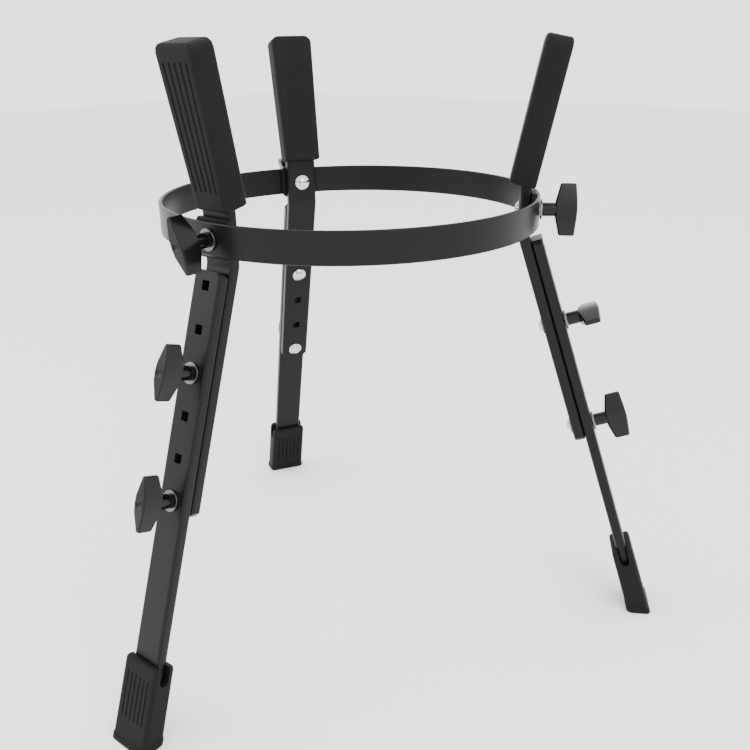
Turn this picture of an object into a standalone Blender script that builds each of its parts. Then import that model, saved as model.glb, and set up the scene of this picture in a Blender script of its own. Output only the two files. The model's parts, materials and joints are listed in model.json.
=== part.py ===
# Height-adjustable conga stand: a flat hoop on three bolted legs
import math

import bmesh
import bpy
import numpy as np
from mathutils import Matrix, Vector

# Driving dimensions, in metres and degrees
MM = 0.001
GAP = 0.3 * MM  # between pieces that touch

RING_OUTER_RADIUS = 160 * MM
RING_THICKNESS = 3 * MM
RING_WIDTH = 25 * MM
RING_EDGE = 0.8 * MM
RING_HEIGHT = 380 * MM  # of the hoop's middle above the floor, at the shortest setting
RING_STEPS = 72

BAR_WIDTH = 28.6 * MM
BAR_DEPTH = 9.2 * MM
BAR_CORNER = 2.4 * MM
BAR_END_CHAMFER = 3.5 * MM
BEND_RADIUS = 18 * MM  # at the middle of the bar
HOLE_SIDE = 7.4 * MM
HOLE_PITCH = 33 * MM
HOLE_TO_END = 11 * MM  # from the last hole's middle to the bar's end
UPPER_HOLES = 4
LOWER_HOLES = 6

LEG_LEAN = 18.0
LEG_BEND_DEPTH = 21.4 * MM  # of the bend below the hoop's middle
FIRST_BOLT = 82.6 * MM  # along the upper leg, from its bend

ARM_LEAN = 11.75
ARM_BEND_RISE = 19 * MM  # of the bend above the hoop's middle
ARM_END_COVER = 11 * MM  # of rubber over the arm's end

SADDLE_THICKNESS = 4 * MM
SADDLE_WIDTH = 36 * MM
SADDLE_HEIGHT = 30 * MM
SADDLE_CHAMFER = 3.5 * MM

PAD_LENGTH = 119.5 * MM
PAD_START = 1.5 * MM  # along the arm, from its bend
PAD_DEPTH = 22 * MM
PAD_OUTER_WALL = 2.8 * MM
PAD_FOOT_WIDTH = 35 * MM
PAD_HEAD_WIDTH = 40 * MM
PAD_CORNER = 4 * MM
PAD_ARCH_RISE = 3.5 * MM
PAD_SHOULDER = 6 * MM

BOOT_LENGTH = 72 * MM  # along the middle of the lower leg, up from the floor
BOOT_WALL = 4.9 * MM
BOOT_FLARE = 0.3 * MM  # how much wider the boot gets on each side, down to its lip
BOOT_CORNER = 3.5 * MM
BOOT_LIP = 5 * MM
BOOT_LIP_STEP = 0.8 * MM
BOOT_ARCH_RISE = 4 * MM
BOOT_NOTCH_DEPTH = 14 * MM
BOOT_NOTCH_WIDTH = 8 * MM
SOLE_THICKNESS = 10 * MM

BOLT_RADIUS = 3.0 * MM
BOLT_HOLE_RADIUS = 3.5 * MM
HEAD_RADIUS = 7.2 * MM
HEAD_RISE = 4.2 * MM
NECK_SIDE = 6.6 * MM
NECK_LENGTH = 3.4 * MM

WASHER_RADIUS = 8.4 * MM
WASHER_THICKNESS = 1.5 * MM

HUB_RADIUS = 5.75 * MM
HUB_LENGTH = 10.3 * MM
WING_LENGTH = 43 * MM
WING_DEPTH = 18 * MM  # along the bolt
WING_MIDDLE = 11.7 * MM
WING_TIP = 4.2 * MM
WING_TIP_DEPTH = 13 * MM
WING_BEVEL = 1.1 * MM
NUT_RADIUS = 4.3 * MM
NUT_LENGTH = 9 * MM

LEG_AZIMUTHS = (270.0, 150.0, 30.0)
# Turn of each wing about its bolt, from level, as the three legs' knobs stand
KNOB_TURNS = {"ring": (112.0, 60.0, 78.0), "high": (86.0, 80.0, 4.0), "low": (92.0, 95.0, 88.0)}

# Colours and finishes
PAINT = (0.016, 0.016, 0.017)
RUBBER = (0.02, 0.02, 0.021)
PLASTIC = (0.012, 0.012, 0.013)
SPACER = (0.014, 0.014, 0.015)
CHROME = (0.72, 0.73, 0.74)
ZINC = (0.62, 0.63, 0.64)
BRASS = (0.66, 0.51, 0.24)

# Places worked out from the sizes
LEAN = math.radians(LEG_LEAN)
TILT = math.radians(ARM_LEAN)
RING_INNER_RADIUS = RING_OUTER_RADIUS - RING_THICKNESS
SADDLE_SEAT = RING_INNER_RADIUS - GAP - SADDLE_THICKNESS
UPRIGHT = SADDLE_SEAT - GAP - BAR_DEPTH / 2  # from the hoop's axis to the middle of the bar
LOWER_OFFSET = BAR_DEPTH + GAP  # from the upper leg's middle to the lower leg's
UPPER_END = FIRST_BOLT + (UPPER_HOLES - 1) * HOLE_PITCH + HOLE_TO_END
LOWER_FIRST_HOLE = FIRST_BOLT - (LOWER_HOLES - UPPER_HOLES) * HOLE_PITCH
LOWER_START = LOWER_FIRST_HOLE - HOLE_TO_END
SLIDE_FRAME_HEIGHT = RING_HEIGHT - LEG_BEND_DEPTH + LOWER_OFFSET * math.sin(LEAN)
LOWER_TO_FLOOR = SLIDE_FRAME_HEIGHT / math.cos(LEAN)
LOWER_END = LOWER_TO_FLOOR - SOLE_THICKNESS
PAD_OFFSET = PAD_OUTER_WALL + BAR_DEPTH / 2 - PAD_DEPTH / 2  # of the pad's middle from the arm's
ARM_LENGTH = PAD_START + PAD_LENGTH - ARM_END_COVER
ROUND_SIDES = 16


def clear_scene():
    for old in list(bpy.data.objects):
        bpy.data.objects.remove(old, do_unlink=True)


def make_material(name, colour, roughness, metallic):
    material = bpy.data.materials.new(name)
    material.use_nodes = True
    shader = material.node_tree.nodes["Principled BSDF"]
    shader.inputs["Base Color"].default_value = (*colour, 1.0)
    shader.inputs["Roughness"].default_value = roughness
    shader.inputs["Metallic"].default_value = metallic
    material.diffuse_color = (*colour, 1.0)
    return material


def make_object(name, bm, finish, parent, matrix=None):
    bmesh.ops.recalc_face_normals(bm, faces=bm.faces)
    mesh = bpy.data.meshes.new(name)
    bm.to_mesh(mesh)
    bm.free()
    mesh.shade_smooth()
    mesh.set_sharp_from_angle(angle=math.radians(35))
    mesh.materials.append(make_material(name, *finish))
    made = bpy.data.objects.new(name, mesh)
    bpy.context.collection.objects.link(made)
    made.parent = parent
    if matrix is not None:
        made.matrix_local = matrix
    return made


def make_empty(name, parent=None, matrix=None):
    empty = bpy.data.objects.new(name, None)
    empty.empty_display_size = 0.03
    bpy.context.collection.objects.link(empty)
    empty.parent = parent
    if matrix is not None:
        empty.matrix_local = matrix
    return empty


def combine(target, cutter_bm, operation="DIFFERENCE"):
    bmesh.ops.recalc_face_normals(cutter_bm, faces=cutter_bm.faces)
    mesh = bpy.data.meshes.new(target.name + "_tool")
    cutter_bm.to_mesh(mesh)
    cutter_bm.free()
    tool = bpy.data.objects.new(target.name + "_tool", mesh)
    bpy.context.collection.objects.link(tool)
    tool.parent = target
    tool.hide_render = True
    tool.display_type = "WIRE"
    modifier = target.modifiers.new(operation.lower(), "BOOLEAN")
    modifier.operation = operation
    modifier.solver = "EXACT"
    modifier.object = tool


def rounded_rectangle(width, depth, corner, steps):
    # Points anticlockwise, with x across the depth and y across the width
    points = []
    for quarter, (sx, sy) in enumerate(((1, 1), (-1, 1), (-1, -1), (1, -1))):
        middle = Vector((sx * (depth / 2 - corner), sy * (width / 2 - corner)))
        for step in range(steps + 1):
            angle = math.pi / 2 * (quarter + step / steps)
            points.append(middle + corner * Vector((math.cos(angle), math.sin(angle))))
    return points


def add_loop(bm, points):
    return [bm.verts.new(point) for point in points]


def bridge(bm, first, second):
    count = len(first)
    for index in range(count):
        after = (index + 1) % count
        bm.faces.new((first[index], first[after], second[after], second[index]))


def loft(bm, sections):
    loops = [add_loop(bm, section) for section in sections]
    for first, second in zip(loops, loops[1:]):
        bridge(bm, first, second)
    bm.faces.new(loops[0])
    bm.faces.new(loops[-1])


def level_section(outline, height):
    return [Vector((p.x, p.y, height)) for p in outline]


def add_box(bm, low, high):
    middle = (Vector(low) + Vector(high)) / 2
    size = Vector(high) - Vector(low)
    place = Matrix.Translation(middle) @ Matrix.Diagonal((*size, 1.0))
    bmesh.ops.create_cube(bm, size=1.0, matrix=place)


def add_cylinder(bm, radius, low, high, place=None, sides=ROUND_SIDES):
    middle = Matrix.Translation((0, 0, (low + high) / 2))
    matrix = middle if place is None else place @ middle
    bmesh.ops.create_cone(bm, cap_ends=True, segments=sides, radius1=radius, radius2=radius,
                          depth=high - low, matrix=matrix)


def turned(bm, profile, sides=ROUND_SIDES):
    # Closed profile of radius and height turned about Z, on the axis only at its ends
    rings = []
    for radius, height in profile:
        if radius == 0:
            rings.append([bm.verts.new((0, 0, height))])
            continue
        angles = [2 * math.pi * side / sides for side in range(sides)]
        rings.append(add_loop(bm, [(radius * math.cos(a), radius * math.sin(a), height) for a in angles]))
    for first, second in zip(rings, rings[1:]):
        for side in range(sides):
            after = (side + 1) % sides
            if len(first) == 1:
                bm.faces.new((first[0], second[after], second[side]))
            elif len(second) == 1:
                bm.faces.new((first[side], first[after], second[0]))
            else:
                bm.faces.new((first[side], first[after], second[after], second[side]))
    return rings


# Frames of one leg, in the frame of its azimuth: X outward, Y along the hoop, Z up
def lean_frame():
    return Matrix.Translation((UPRIGHT, 0, -LEG_BEND_DEPTH)) @ Matrix.Rotation(-LEAN, 4, "Y")


def slide_frame():
    return lean_frame() @ Matrix.Translation((LOWER_OFFSET, 0, 0))


def arm_frame():
    return Matrix.Translation((UPRIGHT, 0, ARM_BEND_RISE)) @ Matrix.Rotation(TILT, 4, "Y")


def outward_axis(along, out):
    # Z along the bolt, outward; X level along the hoop and Y up the bar
    turn = Matrix(((0, 0, 1, 0), (1, 0, 0, 0), (0, 1, 0, 0), (0, 0, 0, 1)))
    return Matrix.Translation((out, 0, -along)) @ turn


def bar_section(x, z, lean, inset=0.0):
    # Section square to the bar, where lean is the bar's angle from upright
    across = Vector((math.cos(lean), 0, -math.sin(lean)))
    outline = rounded_rectangle(BAR_WIDTH - 2 * inset, BAR_DEPTH, BAR_CORNER, 3)
    return [Vector((x, p.y, z)) + across * p.x for p in outline]


def upper_leg_sections():
    # From the arm's end, round both bends, to the foot end
    sections = []
    for back, inset in ((0, BAR_END_CHAMFER), (BAR_END_CHAMFER, 0)):
        point = arm_frame() @ Vector((0, 0, ARM_LENGTH - back))
        sections.append(bar_section(point.x, point.z, TILT, inset))
    side = UPRIGHT + BEND_RADIUS
    arm_start = ARM_BEND_RISE - BEND_RADIUS * math.tan(TILT / 2)
    for step in (3, 2, 1, 0):
        angle = TILT * step / 3
        x = side - BEND_RADIUS * math.cos(angle)
        z = arm_start + BEND_RADIUS * math.sin(angle)
        sections.append(bar_section(x, z, angle))
    leg_start = -LEG_BEND_DEPTH + BEND_RADIUS * math.tan(LEAN / 2)
    for step in (0, 1, 2, 3):
        angle = LEAN * step / 3
        x = side - BEND_RADIUS * math.cos(angle)
        z = leg_start - BEND_RADIUS * math.sin(angle)
        sections.append(bar_section(x, z, -angle))
    for back, inset in ((BAR_END_CHAMFER, 0), (0, BAR_END_CHAMFER)):
        point = lean_frame() @ Vector((0, 0, back - UPPER_END))
        sections.append(bar_section(point.x, point.z, -LEAN, inset))
    return sections


def square_hole(bm, frame, along):
    place = frame @ Matrix.Translation((0, 0, -along))
    size = Matrix.Diagonal((3 * BAR_DEPTH, HOLE_SIDE, HOLE_SIDE, 1.0))
    bmesh.ops.create_cube(bm, size=1.0, matrix=place @ size)


def make_upper_leg(number, leg):
    bm = bmesh.new()
    loft(bm, upper_leg_sections())
    made = make_object(f"upper_leg_{number}", bm, (PAINT, 0.3, 0.0), leg)
    holes = bmesh.new()
    square_hole(holes, Matrix.Translation((UPRIGHT, 0, 0)), 0)
    for hole in range(UPPER_HOLES):
        square_hole(holes, lean_frame(), FIRST_BOLT + hole * HOLE_PITCH)
    combine(made, holes)


def make_lower_leg(number, leg):
    bm = bmesh.new()
    chamfer = BAR_END_CHAMFER
    ends = ((-LOWER_START, chamfer), (-LOWER_START - chamfer, 0), (chamfer - LOWER_END, 0), (-LOWER_END, chamfer))
    loft(bm, [bar_section(0, height, 0, inset) for height, inset in ends])
    made = make_object(f"lower_leg_{number}", bm, (PAINT, 0.3, 0.0), leg, slide_frame())
    holes = bmesh.new()
    for hole in range(LOWER_HOLES):
        square_hole(holes, Matrix(), LOWER_FIRST_HOLE + hole * HOLE_PITCH)
    combine(made, holes)


def make_ring(stand):
    bm = bmesh.new()
    half = RING_WIDTH / 2
    profile = ((RING_OUTER_RADIUS - RING_EDGE, half), (RING_OUTER_RADIUS, half - RING_EDGE),
               (RING_OUTER_RADIUS, RING_EDGE - half), (RING_OUTER_RADIUS - RING_EDGE, -half),
               (RING_INNER_RADIUS + RING_EDGE, -half), (RING_INNER_RADIUS, RING_EDGE - half),
               (RING_INNER_RADIUS, half - RING_EDGE), (RING_INNER_RADIUS + RING_EDGE, half))
    rings = turned(bm, profile, RING_STEPS)
    bridge(bm, rings[-1], rings[0])
    made = make_object("ring", bm, (PAINT, 0.25, 0.0), stand)
    holes = bmesh.new()
    for azimuth in LEG_AZIMUTHS:
        place = Matrix.Rotation(math.radians(azimuth), 4, "Z") @ Matrix.Rotation(math.pi / 2, 4, "Y")
        low = RING_INNER_RADIUS - RING_THICKNESS
        add_cylinder(holes, BOLT_HOLE_RADIUS, low, RING_OUTER_RADIUS + RING_THICKNESS, place, 16)
    combine(made, holes)


def make_saddle(number, leg):
    # Flat against the leg and round against the hoop
    bm = bmesh.new()
    half = SADDLE_WIDTH / 2
    straight = half - SADDLE_CHAMFER
    places = [-half] + list(np.linspace(-straight, straight, 7)) + [half]
    seat = RING_INNER_RADIUS - GAP
    sections = []
    for y in places:
        height = SADDLE_HEIGHT / 2 - max(0.0, abs(y) - straight)
        x = math.sqrt(seat * seat - y * y)
        sections.append([(SADDLE_SEAT, y, -height), (x, y, -height), (x, y, height), (SADDLE_SEAT, y, height)])
    loft(bm, sections)
    made = make_object(f"saddle_{number}", bm, (SPACER, 0.5, 0.0), leg)
    hole = bmesh.new()
    add_cylinder(hole, BOLT_HOLE_RADIUS, SADDLE_SEAT - BAR_DEPTH, RING_OUTER_RADIUS,
                 Matrix.Rotation(math.pi / 2, 4, "Y"), 16)
    combine(made, hole)


def pad_outline(along):
    # Width grows from the pad's foot to its head, and the head rounds over
    share = along / PAD_LENGTH
    width = PAD_FOOT_WIDTH + (PAD_HEAD_WIDTH - PAD_FOOT_WIDTH) * share
    return width


def make_pad(number, leg):
    bm = bmesh.new()
    shoulder = PAD_LENGTH - PAD_SHOULDER - PAD_ARCH_RISE
    sections = []
    for along in (0, 1.2 * MM, PAD_LENGTH * 0.3, PAD_LENGTH * 0.6, shoulder):
        inset = 1.2 * MM if along == 0 else 0.0
        outline = rounded_rectangle(pad_outline(along) - 2 * inset, PAD_DEPTH - 2 * inset, PAD_CORNER, 3)
        sections.append([Vector((p.x + PAD_OFFSET, p.y, along)) for p in outline])
    for angle in (30, 60, 90):
        turn = math.radians(angle)
        inset = PAD_SHOULDER * (1 - math.cos(turn))
        rise = shoulder + PAD_SHOULDER * math.sin(turn)
        width = pad_outline(shoulder) - 2 * inset
        outline = rounded_rectangle(width, PAD_DEPTH - inset, PAD_CORNER - 0.5 * inset, 3)
        half = width / 2
        section = []
        for p in outline:
            arch = PAD_ARCH_RISE * (1 - (p.y / half) ** 2) * math.sin(turn)
            section.append(Vector((p.x + PAD_OFFSET, p.y, rise + arch)))
        sections.append(section)
    loft(bm, sections)
    bmesh.ops.triangulate(bm, faces=[face for face in bm.faces if len(face.verts) > 4])
    frame = arm_frame() @ Matrix.Translation((0, 0, PAD_START))
    made = make_object(f"pad_{number}", bm, (RUBBER, 0.7, 0.0), leg, frame)
    pocket = bmesh.new()
    outline = rounded_rectangle(BAR_WIDTH + 2 * GAP, BAR_DEPTH + 2 * GAP, BAR_CORNER + GAP, 2)
    top = PAD_LENGTH - ARM_END_COVER + GAP
    loft(pocket, [level_section(outline, height) for height in (-PAD_START, top)])
    combine(made, pocket)


def floor_section(outline, lift=0.0):
    # Where the outline's lines along the leg meet a level plane
    section = []
    for p in outline:
        height = (lift - SLIDE_FRAME_HEIGHT - p.x * math.sin(LEAN)) / math.cos(LEAN)
        section.append(Vector((p.x, p.y, height)))
    return section


def boot_outline(share, extra=0.0):
    wide = 2 * (BOOT_WALL + BOOT_FLARE * share + extra)
    return rounded_rectangle(BAR_WIDTH + wide, BAR_DEPTH + wide, BOOT_CORNER + extra, 3)


def make_boot(number, leg):
    bm = bmesh.new()
    top = BOOT_LENGTH - LOWER_TO_FLOOR
    half = BAR_WIDTH / 2 + BOOT_WALL
    arch = []
    for inset, drop in ((2.0 * MM, 0.0), (0.5 * MM, 1.0 * MM)):
        for p in boot_outline(0, -inset):
            arch_drop = BOOT_ARCH_RISE * (p.y / half) ** 2
            arch.append(Vector((p.x, p.y, top - drop - arch_drop)))
    count = len(arch) // 2
    lip = BOOT_LIP
    sections = [arch[:count], arch[count:], level_section(boot_outline(0), top - BOOT_ARCH_RISE - 2 * MM)]
    sections.append(floor_section(boot_outline(1), lip + BOOT_LIP_STEP))
    sections.append(floor_section(boot_outline(1, BOOT_LIP_STEP), lip))
    sections.append(floor_section(boot_outline(1, BOOT_LIP_STEP), 1.0 * MM))
    sections.append(floor_section(boot_outline(1, BOOT_LIP_STEP - 1.0 * MM)))
    loft(bm, sections)
    bmesh.ops.triangulate(bm, faces=[face for face in bm.faces if len(face.verts) > 4])
    made = make_object(f"boot_{number}", bm, (RUBBER, 0.7, 0.0), leg, slide_frame())
    pocket = bmesh.new()
    outline = rounded_rectangle(BAR_WIDTH + 2 * GAP, BAR_DEPTH + 2 * GAP, BAR_CORNER + GAP, 2)
    loft(pocket, [level_section(outline, height) for height in (top + BOOT_LENGTH, -LOWER_END - GAP)])
    combine(made, pocket)
    notch = bmesh.new()
    low = top - BOOT_ARCH_RISE - BOOT_NOTCH_DEPTH + BOOT_NOTCH_WIDTH / 2
    sideways = Matrix.Translation((0, 0, low)) @ Matrix.Rotation(math.pi / 2, 4, "X")
    slot = []
    for step in range(7):
        angle = math.pi * (1 + step / 6)
        slot.append(Vector((math.cos(angle), math.sin(angle))) * BOOT_NOTCH_WIDTH / 2)
    slot += [Vector((BOOT_NOTCH_WIDTH / 2, BOOT_LENGTH)), Vector((-BOOT_NOTCH_WIDTH / 2, BOOT_LENGTH))]
    loft(notch, [[sideways @ Vector((p.x, p.y, side)) for p in slot] for side in (-BAR_WIDTH, BAR_WIDTH)])
    combine(made, notch)


def make_bolt(name, leg, frame, reach):
    # Z runs outward from the bar's inner face, and the shank ends at reach
    bm = bmesh.new()
    ball = (HEAD_RADIUS ** 2 + HEAD_RISE ** 2) / (2 * HEAD_RISE)
    profile = [(0, -HEAD_RISE - GAP)]
    for share in (0.35, 0.65, 0.88, 1.0):
        radius = HEAD_RADIUS * share
        profile.append((radius, ball - HEAD_RISE - GAP - math.sqrt(ball ** 2 - radius ** 2)))
    profile[-1] = (HEAD_RADIUS, -0.25 * HEAD_RISE)
    profile += [(HEAD_RADIUS * 0.97, -GAP), (BOLT_RADIUS, -GAP), (BOLT_RADIUS, reach - 0.4 * MM)]
    profile += [(BOLT_RADIUS - 0.4 * MM, reach), (0, reach)]
    turned(bm, profile)
    made = make_object(name, bm, (CHROME, 0.12, 1.0), leg, frame)
    neck = bmesh.new()
    side = NECK_SIDE / 2
    add_box(neck, (-side, -side, -HEAD_RISE / 2), (side, side, NECK_LENGTH))
    combine(made, neck, "UNION")


def make_washer(name, leg, frame, low):
    bm = bmesh.new()
    high = low + WASHER_THICKNESS
    profile = ((BOLT_HOLE_RADIUS, low), (WASHER_RADIUS, low), (WASHER_RADIUS, high), (BOLT_HOLE_RADIUS, high))
    rings = turned(bm, profile)
    bridge(bm, rings[-1], rings[0])
    return make_object(name, bm, (ZINC, 0.22, 1.0), leg, frame)


def wing_section(x, thick, low, high):
    y = thick / 2
    cut = min(WING_BEVEL, y * 0.6)
    corners = ((-y, low + cut), (cut - y, low), (y - cut, low), (y, low + cut),
               (y, high - cut), (y - cut, high), (cut - y, high), (-y, high - cut))
    return [Vector((x, across, along)) for across, along in corners]


def make_knob(name, leg, frame, turn):
    # Z runs outward along the bolt from the hub's seat, and X along the wing
    bm = bmesh.new()
    top = HUB_LENGTH + WING_DEPTH
    tip_low = top - 1.5 * MM - WING_TIP_DEPTH
    half = WING_LENGTH / 2
    shape = ((1.0, WING_TIP * 0.6, tip_low + 1 * MM, top - 2.5 * MM), (0.96, WING_TIP, tip_low, top - 1.5 * MM),
             (0.3, WING_MIDDLE * 0.96, HUB_LENGTH, top - 0.3 * MM), (0.0, WING_MIDDLE, HUB_LENGTH, top))
    sections = [wing_section(-half * share, *rest) for share, *rest in shape]
    sections += [wing_section(half * share, *rest) for share, *rest in reversed(shape[:-1])]
    loft(bm, sections)
    placed = frame @ Matrix.Rotation(math.radians(turn), 4, "Z")
    made = make_object(name, bm, (PLASTIC, 0.18, 0.0), leg, placed)
    hub = bmesh.new()
    add_cylinder(hub, HUB_RADIUS, 0, HUB_LENGTH + WING_DEPTH / 2)
    combine(made, hub, "UNION")
    bore = bmesh.new()
    add_cylinder(bore, NUT_RADIUS + GAP, -HUB_LENGTH, NUT_LENGTH + 2 * GAP)
    combine(made, bore)


def make_nut(name, leg, frame):
    bm = bmesh.new()
    inside = BOLT_RADIUS + GAP
    profile = ((inside, GAP), (NUT_RADIUS, GAP), (NUT_RADIUS, NUT_LENGTH), (inside, NUT_LENGTH))
    rings = turned(bm, profile)
    bridge(bm, rings[-1], rings[0])
    make_object(name, bm, (BRASS, 0.3, 1.0), leg, frame)


def make_clamp(kind, number, leg, frame, along, face, reach):
    # Bolt from the bar's inner face, then the washer and the knob on the far face
    start = frame @ outward_axis(along, -BAR_DEPTH / 2)
    make_bolt(f"{kind}_bolt_{number}", leg, start, reach)
    make_washer(f"{kind}_washer_{number}", leg, start, face + GAP)
    seat = start @ Matrix.Translation((0, 0, face + WASHER_THICKNESS + 2 * GAP))
    make_knob(f"{kind}_knob_{number}", leg, seat, KNOB_TURNS[kind][number - 1])
    make_nut(f"{kind}_nut_{number}", leg, seat)


def make_leg(number, azimuth, stand):
    leg = make_empty(f"leg_{number}_frame", stand, Matrix.Rotation(math.radians(azimuth), 4, "Z"))
    make_saddle(number, leg)
    make_upper_leg(number, leg)
    make_pad(number, leg)
    make_lower_leg(number, leg)
    make_boot(number, leg)
    upright = Matrix.Translation((UPRIGHT, 0, 0))
    ring_face = RING_OUTER_RADIUS - UPRIGHT + BAR_DEPTH / 2
    ring_reach = ring_face + WASHER_THICKNESS + 2 * GAP + NUT_LENGTH
    make_clamp("ring", number, leg, upright, 0, ring_face, ring_reach)
    # The shank of these two ends inside the upper leg, so that the lower leg can slide
    leg_face = 2 * BAR_DEPTH + GAP
    low_bolt = FIRST_BOLT + (UPPER_HOLES - 1) * HOLE_PITCH
    make_clamp("high", number, leg, lean_frame(), FIRST_BOLT, leg_face, BAR_DEPTH)
    make_clamp("low", number, leg, lean_frame(), low_bolt, leg_face, BAR_DEPTH)


def centre_on_floor(stand):
    # The origin is under the middle of the box that holds the stand
    bpy.context.view_layer.update()
    corners = []
    for piece in bpy.data.objects:
        if piece.type == "MESH" and not piece.hide_render:
            corners += [piece.matrix_world @ vert.co for vert in piece.data.vertices]
    low = [min(corner[axis] for corner in corners) for axis in range(3)]
    high = [max(corner[axis] for corner in corners) for axis in range(3)]
    stand.location = (-(low[0] + high[0]) / 2, -(low[1] + high[1]) / 2, RING_HEIGHT)


def main():
    clear_scene()
    stand = make_empty("stand_frame")
    make_ring(stand)
    for number, azimuth in enumerate(LEG_AZIMUTHS, start=1):
        make_leg(number, azimuth, stand)
    centre_on_floor(stand)
    bpy.context.view_layer.update()


main()
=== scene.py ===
# Looks of the conga stand: paint, rubber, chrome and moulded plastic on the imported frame
import json
import math

import bmesh
import bpy
from mathutils import Matrix, Vector


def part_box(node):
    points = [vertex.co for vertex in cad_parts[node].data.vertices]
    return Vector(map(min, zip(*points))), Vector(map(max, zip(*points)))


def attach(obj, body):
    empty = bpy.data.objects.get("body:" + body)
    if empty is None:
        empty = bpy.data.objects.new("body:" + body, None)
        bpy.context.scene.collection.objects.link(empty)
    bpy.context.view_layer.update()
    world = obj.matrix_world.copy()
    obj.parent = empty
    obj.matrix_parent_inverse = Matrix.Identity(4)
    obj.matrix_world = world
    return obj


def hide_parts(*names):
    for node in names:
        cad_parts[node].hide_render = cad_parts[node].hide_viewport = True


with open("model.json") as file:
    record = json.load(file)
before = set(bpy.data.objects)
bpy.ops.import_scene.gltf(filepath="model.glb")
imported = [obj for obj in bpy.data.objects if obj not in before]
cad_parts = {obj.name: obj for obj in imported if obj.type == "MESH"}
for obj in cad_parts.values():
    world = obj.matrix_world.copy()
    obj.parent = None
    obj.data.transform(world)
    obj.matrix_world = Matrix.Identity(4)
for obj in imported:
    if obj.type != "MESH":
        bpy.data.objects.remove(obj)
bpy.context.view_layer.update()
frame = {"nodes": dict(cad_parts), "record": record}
mm = 0.001

# Places shared with the frame. In the frame of one leg X points outward, Y along the hoop and Z up
ringLow, ringHigh = [Vector(corner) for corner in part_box("ring")]
ringCentre = (ringLow + ringHigh) / 2
ringOuter = (ringHigh.x - ringLow.x) / 2
legAzimuths = {1: 270, 2: 150, 3: 30}
bar = {"depth": 9.2 * mm, "gap": 0.3 * mm, "upright": 147.8 * mm}  # upright: hoop's axis to the bar's middle
lean = {"angle": math.radians(18), "bend": 21.4 * mm, "firstBolt": 82.6 * mm, "span": 99 * mm}
arm = {"angle": math.radians(11.75), "bend": 19 * mm}


def legFrame(azimuth):
    return Matrix.Translation(ringCentre) @ Matrix.Rotation(math.radians(azimuth), 4, "Z")


def leanFrame(azimuth):
    place = Matrix.Translation((bar["upright"], 0, -lean["bend"]))
    return legFrame(azimuth) @ place @ Matrix.Rotation(-lean["angle"], 4, "Y")


def slideFrame(azimuth):
    return leanFrame(azimuth) @ Matrix.Translation((bar["depth"] + bar["gap"], 0, 0))


def armFrame(azimuth):
    place = Matrix.Translation((bar["upright"], 0, arm["bend"]))
    return legFrame(azimuth) @ place @ Matrix.Rotation(arm["angle"], 4, "Y")


def boltFrame(azimuth, kind):
    # Z outward along the bolt, from the bar's inner face
    turn = Matrix(((0, 0, 1, 0), (1, 0, 0, 0), (0, 1, 0, 0), (0, 0, 0, 1)))
    if kind == "ring":
        return legFrame(azimuth) @ Matrix.Translation((bar["upright"] - bar["depth"] / 2, 0, 0)) @ turn
    along = lean["firstBolt"] + (lean["span"] if kind == "low" else 0)
    return leanFrame(azimuth) @ Matrix.Translation((-bar["depth"] / 2, 0, -along)) @ turn


# Materials
class MaterialTree:
    def __init__(self, name):
        self.material = bpy.data.materials.new(name)
        self.material.use_nodes = True
        self.surface = self.material.node_tree.nodes["Principled BSDF"]

    def fill(self, node, sockets):
        for name, value in sockets.items():
            if isinstance(value, bpy.types.NodeSocket):
                self.material.node_tree.links.new(value, node.inputs[name])
            else:
                node.inputs[name].default_value = value

    def add(self, kind, settings, sockets):
        # Settings come first, because they decide which sockets a node has
        node = self.material.node_tree.nodes.new(kind)
        for name, value in settings.items():
            setattr(node, name, value)
        self.fill(node, sockets)
        return node.outputs


# A colour Mix node has its factor and two colours at these inputs, and its result at this output
mixSocket = {"factor": 0, "first": 6, "second": 7, "result": 2}
noise = {"driftDetail": 4, "grainDetail": 6, "reliefDepth": 0.1 * mm}


def surfaceMaterial(name, look):
    # Two colours in broad drifts, a fine grain in the gloss and the same grain as relief
    tree = MaterialTree(name)
    place = tree.add("ShaderNodeTexCoord", {}, {})["Object"]
    drift = tree.add("ShaderNodeTexNoise", {}, {
        "Vector": place, "Scale": look["driftScale"], "Detail": noise["driftDetail"]})["Fac"]
    grain = tree.add("ShaderNodeTexNoise", {}, {
        "Vector": place, "Scale": look["grainScale"], "Detail": noise["grainDetail"]})["Fac"]
    colour = tree.add("ShaderNodeMix", {"data_type": "RGBA"}, {
        mixSocket["factor"]: drift, mixSocket["first"]: (*look["dark"], 1),
        mixSocket["second"]: (*look["light"], 1)})[mixSocket["result"]]
    glossy, dull = look["roughness"]
    roughness = tree.add("ShaderNodeMapRange", {}, {
        "Value": grain, "To Min": glossy, "To Max": dull})["Result"]
    relief = tree.add("ShaderNodeBump", {}, {
        "Strength": look["relief"], "Distance": noise["reliefDepth"], "Height": grain})["Normal"]
    tree.fill(tree.surface, {
        "Base Color": colour, "Metallic": look["metallic"], "Roughness": roughness,
        "Specular IOR Level": look["specular"], "Coat Weight": look["coat"], "Normal": relief})
    return tree.material


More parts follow.
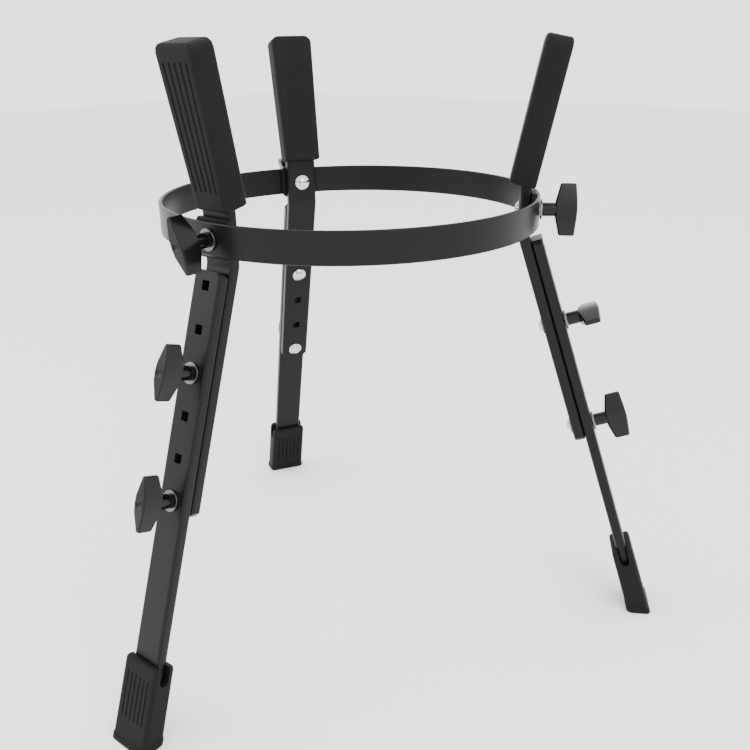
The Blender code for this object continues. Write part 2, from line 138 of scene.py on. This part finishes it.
looks = {
    "black_paint": {"dark": (0.002, 0.002, 0.0022), "light": (0.005, 0.005, 0.0052),
                    "metallic": 0, "coat": 0, "specular": 0.16, "roughness": (0.24, 0.42),
                    "driftScale": 9, "grainScale": 900, "relief": 0.12},
    "black_spacer": {"dark": (0.002, 0.002, 0.0022), "light": (0.004, 0.004, 0.0042),
                     "metallic": 0, "coat": 0, "specular": 0.12, "roughness": (0.4, 0.6),
                     "driftScale": 12, "grainScale": 900, "relief": 0.15},
    "black_rubber": {"dark": (0.002, 0.002, 0.0022), "light": (0.006, 0.006, 0.0062),
                     "metallic": 0, "coat": 0, "specular": 0.12, "roughness": (0.5, 0.78),
                     "driftScale": 25, "grainScale": 1600, "relief": 0.35},
    "chrome_bolt": {"dark": (0.5, 0.51, 0.52), "light": (0.6, 0.61, 0.62),
                    "metallic": 1, "coat": 0, "specular": 0.5, "roughness": (0.05, 0.14),
                    "driftScale": 40, "grainScale": 1200, "relief": 0.03},
    "zinc_washer": {"dark": (0.1, 0.1, 0.1), "light": (0.2, 0.2, 0.2),
                    "metallic": 1, "coat": 0, "specular": 0.5, "roughness": (0.18, 0.36),
                    "driftScale": 60, "grainScale": 1400, "relief": 0.1},
    "knob_plastic": {"dark": (0.0015, 0.0015, 0.0017), "light": (0.003, 0.003, 0.0032),
                     "metallic": 0, "coat": 0.05, "specular": 0.2, "roughness": (0.12, 0.26),
                     "driftScale": 30, "grainScale": 1100, "relief": 0.06},
    "brass_insert": {"dark": (0.55, 0.42, 0.19), "light": (0.72, 0.56, 0.28),
                     "metallic": 1, "coat": 0, "specular": 0.5, "roughness": (0.22, 0.4),
                     "driftScale": 50, "grainScale": 1200, "relief": 0.1},
}
materials = {slot: surfaceMaterial(slot, look) for slot, look in looks.items()}
slotOf = {entry["node"]: entry["material_slot"] for entry in frame["record"]["subparts"]}
bodies = frame["record"]["behaviour"]["bodies"]
bodyOf = {node: body for body, nodes in bodies.items() for node in nodes}


# Fine pieces
def addObject(name, data):
    made = bpy.data.objects.new(name, data)
    bpy.context.collection.objects.link(made)
    return made


def capsules(name, places, radius, length, sides=16, capSteps=4):
    # Round-ended rods about Z, one at each place, as one cutter
    profile = []
    for step in range(capSteps + 1):
        angle = math.pi / 2 * step / capSteps
        profile.append((radius * math.sin(angle), -length / 2 - radius * math.cos(angle)))
    profile += [(across, -height) for across, height in reversed(profile)]
    cutter = bmesh.new()
    for place in places:
        loops = []
        for across, height in profile:
            if across == 0:
                loops.append([cutter.verts.new(place @ Vector((0, 0, height)))])
                continue
            points = [Matrix.Rotation(2 * math.pi * side / sides, 3, "Z") @ Vector((across, 0, height))
                      for side in range(sides)]
            loops.append([cutter.verts.new(place @ point) for point in points])
        for first, second in zip(loops, loops[1:]):
            for side in range(sides):
                after = (side + 1) % sides
                corners = [first[side % len(first)], first[after % len(first)],
                           second[after % len(second)], second[side % len(second)]]
                cutter.faces.new(list(dict.fromkeys(corners)))
    bmesh.ops.recalc_face_normals(cutter, faces=cutter.faces)
    mesh = bpy.data.meshes.new(name)
    cutter.to_mesh(mesh)
    cutter.free()
    return addObject(name, mesh)


def applyModifiers(piece):
    bpy.context.view_layer.update()
    evaluated = piece.evaluated_get(bpy.context.evaluated_depsgraph_get())
    made = bpy.data.meshes.new_from_object(evaluated)
    piece.modifiers.clear()
    piece.data = made


# Faces that meet under the flat angle are joined, and edges over the hard angle are bevelled
finish = {"merge": 0.002 * mm, "flat": math.radians(0.6), "hard": math.radians(40),
          "sharp": math.radians(38), "segments": 2}


def finePiece(node, bevel, cutter=None):
    # The node's own solid with its hard edges broken, cut where it has grooves, and its round faces smooth
    mesh = frame["nodes"][node].data.copy()
    mesh.materials.clear()
    piece = addObject(f"fine_{node}", mesh)
    shell = bmesh.new()
    shell.from_mesh(mesh)
    bmesh.ops.remove_doubles(shell, verts=shell.verts, dist=finish["merge"])
    bmesh.ops.dissolve_limit(shell, angle_limit=finish["flat"], verts=shell.verts, edges=shell.edges)
    shell.to_mesh(mesh)
    shell.free()
    edges = piece.modifiers.new("edges", "BEVEL")
    edges.width = bevel
    edges.segments = finish["segments"]
    edges.limit_method = "ANGLE"
    edges.angle_limit = finish["hard"]
    edges.use_clamp_overlap = True
    if cutter:
        cut = piece.modifiers.new("grooves", "BOOLEAN")
        cut.operation = "DIFFERENCE"
        cut.solver = "EXACT"
        cut.object = cutter
    applyModifiers(piece)
    piece.data.shade_smooth()
    piece.data.set_sharp_from_angle(angle=finish["sharp"])
    flats = piece.modifiers.new("flats", "WEIGHTED_NORMAL")
    flats.keep_sharp = True
    applyModifiers(piece)
    piece.data.materials.clear()
    piece.data.materials.append(materials[slotOf[node]])
    if cutter:
        bpy.data.objects.remove(cutter, do_unlink=True)
    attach(piece, bodyOf[node])
    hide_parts(node)


def stepsFromMiddle(count):
    return [step - (count - 1) / 2 for step in range(count)]


# Grooves down the outer face of each pad, which spread toward its top by fan, in radians from one to the next
pad = {"bevel": 0.5 * mm, "face": 7.4 * mm, "middle": 61 * mm, "grooves": 5, "pitch": 5.6 * mm,
       "radius": 0.95 * mm, "length": 88 * mm, "fan": 0.0055}
for number, azimuth in legAzimuths.items():
    places = []
    for side in stepsFromMiddle(pad["grooves"]):
        spot = Matrix.Translation((pad["face"], side * pad["pitch"], pad["middle"]))
        places.append(armFrame(azimuth) @ spot @ Matrix.Rotation(-side * pad["fan"], 4, "X"))
    grooves = capsules(f"pad_grooves_{number}", places, pad["radius"], pad["length"])
    finePiece(f"pad_{number}", pad["bevel"], grooves)
print("pads made")

# Grooves along both wide faces of each boot
boot = {"bevel": 0.4 * mm, "face": 9.6 * mm, "middle": 341 * mm, "grooves": 6, "pitch": 4.8 * mm,
        "radius": 0.8 * mm, "length": 36 * mm}
for number, azimuth in legAzimuths.items():
    places = []
    for face in (-boot["face"], boot["face"]):
        for side in stepsFromMiddle(boot["grooves"]):
            spot = Matrix.Translation((face, side * boot["pitch"], -boot["middle"]))
            places.append(slideFrame(azimuth) @ spot)
    grooves = capsules(f"boot_grooves_{number}", places, boot["radius"], boot["length"])
    finePiece(f"boot_{number}", boot["bevel"], grooves)
print("boots made")

# Moulded dimple in the outer end of each knob. Its centre is lift beyond the end
knob = {"bevel": 0.45 * mm, "top": 28.3 * mm, "dimple": 4.5 * mm, "lift": 3 * mm, "rod": 0.1 * mm,
        "sides": 32}
washer = {"bevel": 0.2 * mm, "thickness": 1.5 * mm}
bolt = {"bevel": 0.15 * mm}
# From the bar's inner face to the face under the washer
legSeat = 2 * bar["depth"] + bar["gap"]
seats = {"ring": ringOuter - bar["upright"] + bar["depth"] / 2, "high": legSeat, "low": legSeat}
for number, azimuth in legAzimuths.items():
    for kind, seat in seats.items():
        height = seat + washer["thickness"] + 2 * bar["gap"] + knob["top"] + knob["lift"]
        place = boltFrame(azimuth, kind) @ Matrix.Translation((0, 0, height))
        dimple = capsules(f"{kind}_dimple_{number}", [place], knob["dimple"], knob["rod"], knob["sides"])
        finePiece(f"{kind}_knob_{number}", knob["bevel"], dimple)
        finePiece(f"{kind}_washer_{number}", washer["bevel"])
        finePiece(f"{kind}_bolt_{number}", bolt["bevel"])
print("clamps made")

hoop = {"bevel": 0.15 * mm}
barBevels = {"saddle": 0.35 * mm, "upper_leg": 0.25 * mm, "lower_leg": 0.25 * mm}
finePiece("ring", hoop["bevel"])
for number in legAzimuths:
    for kind, bevel in barBevels.items():
        finePiece(f"{kind}_{number}", bevel)
print("bars made")

# The inserts keep their plain solids, because the knobs hide them
for node, item in frame["nodes"].items():
    if "_nut_" in node:
        for materialSlot in item.material_slots:
            materialSlot.material = materials["brass_insert"]


# Camera, as fitted to the hoop and the three legs in the photograph, with its angles in degrees
view = {"azimuth": 40.35, "distance": 743.9 * mm, "rise": 136.3 * mm, "yaw": 1.4725, "pitch": 21.469,
        "roll": -0.7334, "lens": 41.45}


def addCamera():
    yaw, pitch, roll = (math.radians(view[name]) for name in ("yaw", "pitch", "roll"))
    forward = Vector((math.sin(yaw) * math.cos(pitch), math.cos(yaw) * math.cos(pitch), -math.sin(pitch)))
    right = Vector((math.cos(yaw), -math.sin(yaw), 0))
    up = right.cross(forward)
    rolledRight = right * math.cos(roll) + up * math.sin(roll)
    rolledUp = up * math.cos(roll) - right * math.sin(roll)
    turn = Matrix((rolledRight, rolledUp, -forward)).transposed().to_4x4()
    around = Matrix.Translation(ringCentre) @ Matrix.Rotation(math.radians(view["azimuth"]), 4, "Z")
    data = bpy.data.cameras.new("photoCamera")
    data.lens = view["lens"]
    camera = addObject("photoCamera", data)
    camera.matrix_world = around @ Matrix.Translation((0, -view["distance"], view["rise"])) @ turn
    bpy.context.scene.camera = camera


# Studio, with its lengths in metres
studio = {"light": (1, 1, 1, 1), "strength": 2.4, "floorHalf": 6, "floorColour": (0.9, 0.9, 0.9, 1),
          "floorRoughness": 0.9}
lamps = {"keyLight": {"place": (1.5, -0.6, 1.6), "size": 1.2, "power": 28},
         "leftLight": {"place": (-1.2, -1.2, 1.3), "size": 1.4, "power": 16}}


def addWorld():
    world = bpy.data.worlds.new("studio")
    world.use_nodes = True
    background = world.node_tree.nodes["Background"]
    background.inputs["Color"].default_value = studio["light"]
    background.inputs["Strength"].default_value = studio["strength"]
    bpy.context.scene.world = world


def addFloor():
    half = studio["floorHalf"]
    corners = [(-half, -half, 0), (half, -half, 0), (half, half, 0), (-half, half, 0)]
    mesh = bpy.data.meshes.new("floor")
    mesh.from_pydata(corners, [], [(0, 1, 2, 3)])
    pale = MaterialTree("paleFloor")
    pale.fill(pale.surface, {"Base Color": studio["floorColour"], "Roughness": studio["floorRoughness"]})
    mesh.materials.append(pale.material)
    floor = addObject("floor", mesh)


def addLamp(name, lamp):
    data = bpy.data.lights.new(name, "AREA")
    data.energy = lamp["power"]
    data.size = lamp["size"]
    light = addObject(name, data)
    light.location = lamp["place"]
    light.rotation_euler = (ringCentre - Vector(lamp["place"])).to_track_quat("-Z", "Y").to_euler()


addCamera()
addWorld()
addFloor()
for name, lamp in lamps.items():
    addLamp(name, lamp)
print("stage made")
